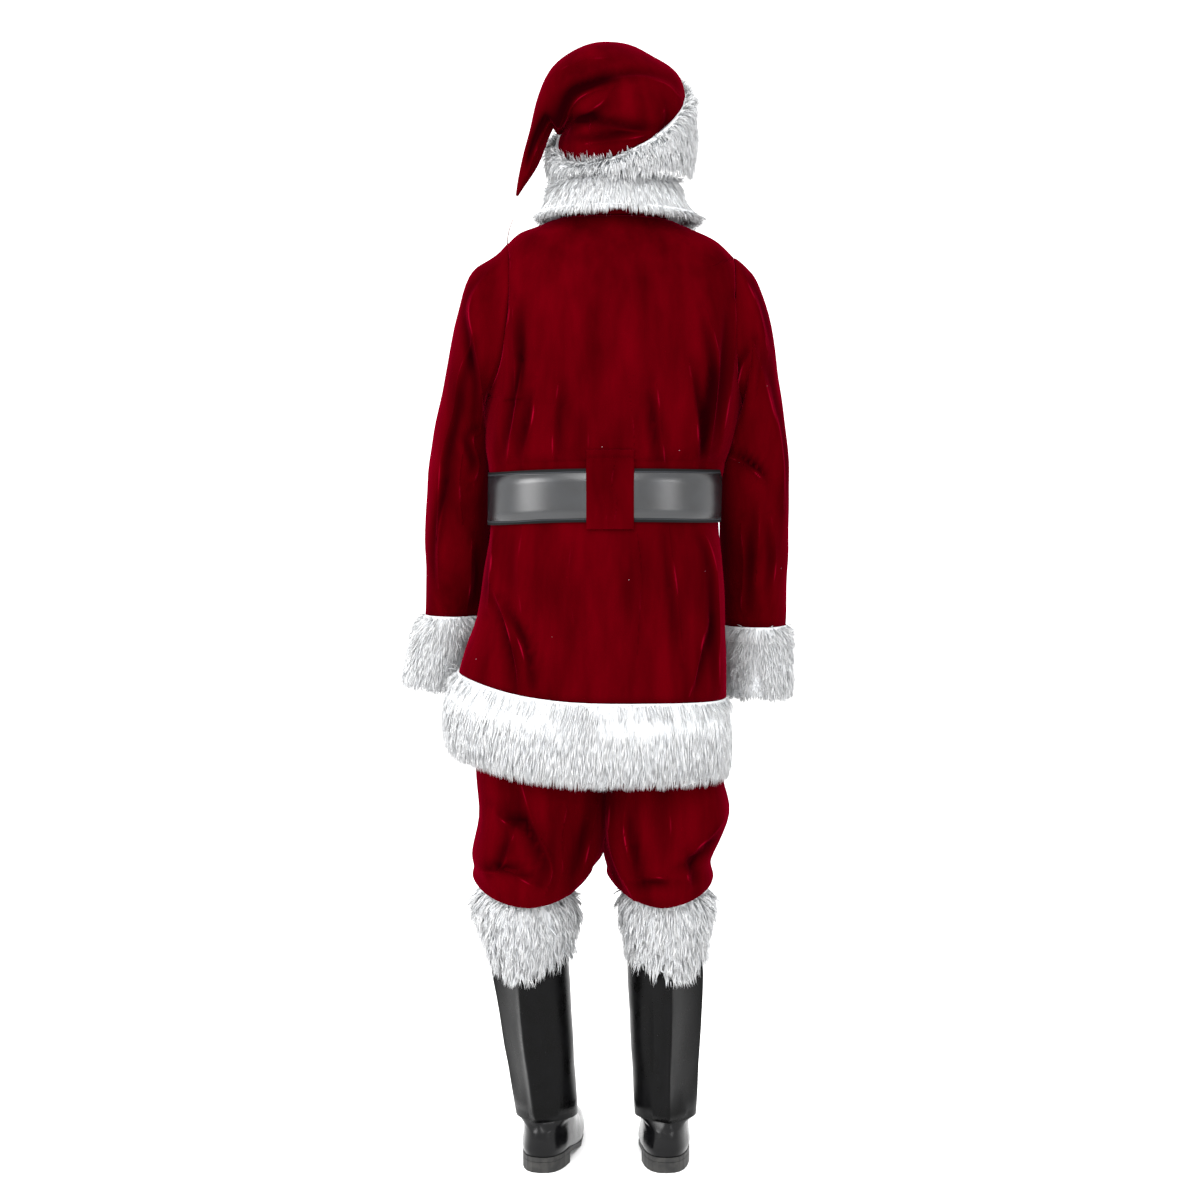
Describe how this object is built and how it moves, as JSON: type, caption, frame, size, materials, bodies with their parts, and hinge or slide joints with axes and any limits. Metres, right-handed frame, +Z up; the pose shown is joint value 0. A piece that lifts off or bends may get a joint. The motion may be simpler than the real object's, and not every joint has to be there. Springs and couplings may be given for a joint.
{
  "type": "worn costume suit of jacket, trousers, hat, belt and boots",
  "caption": "Red velvet winter costume with white plush trims, pointed hat, black belt and boots, held hollow in a standing pose",
  "frame": {"origin": "middle of the neck opening at the height of the back neck seam, where the wearer's shoulders carry the suit", "axes": "+Z up, +X towards the wearer's left, -Y the way the wearer faces"},
  "size_m": [0.6657, 0.42, 1.8319],
  "materials": {
    "red_velvet": "crushed velvet, soft sheen",
    "white_plush": "long-pile plush, matt",
    "belt_leather": "satin",
    "shoe_leather": "polished",
    "shoe_rubber": "matt",
    "buckle_brass": "polished",
    "cord_thread": "twisted thread"
  },
  "bodies": {
    "root": {"jacket_back": "red_velvet", "jacket_front_left": "red_velvet", "jacket_front_right": "red_velvet", "sleeve_left": "red_velvet", "sleeve_right": "red_velvet", "collar_stand": "red_velvet", "belt_loop_back": "red_velvet", "trousers_back_left": "red_velvet", "trousers_front_left": "red_velvet", "trousers_back_right": "red_velvet", "trousers_front_right": "red_velvet", "trousers_waistband": "red_velvet", "hat_crown": "red_velvet", "plush_collar": "white_plush", "plush_front_band": "white_plush", "plush_hem": "white_plush", "plush_cuff_left": "white_plush", "plush_cuff_right": "white_plush", "hat_brim": "white_plush", "hat_pompom": "white_plush", "boot_plush_left": "white_plush", "boot_plush_right": "white_plush", "belt_strap": "belt_leather", "boot_shaft_left": "belt_leather", "boot_shaft_right": "belt_leather", "shoe_upper_left": "shoe_leather", "shoe_upper_right": "shoe_leather", "shoe_sole_left": "shoe_rubber", "shoe_sole_right": "shoe_rubber", "shoe_heel_left": "shoe_rubber", "shoe_heel_right": "shoe_rubber", "buckle_frame": "buckle_brass", "buckle_prong": "buckle_brass", "hat_cord": "cord_thread"}
  },
  "joints": []
}
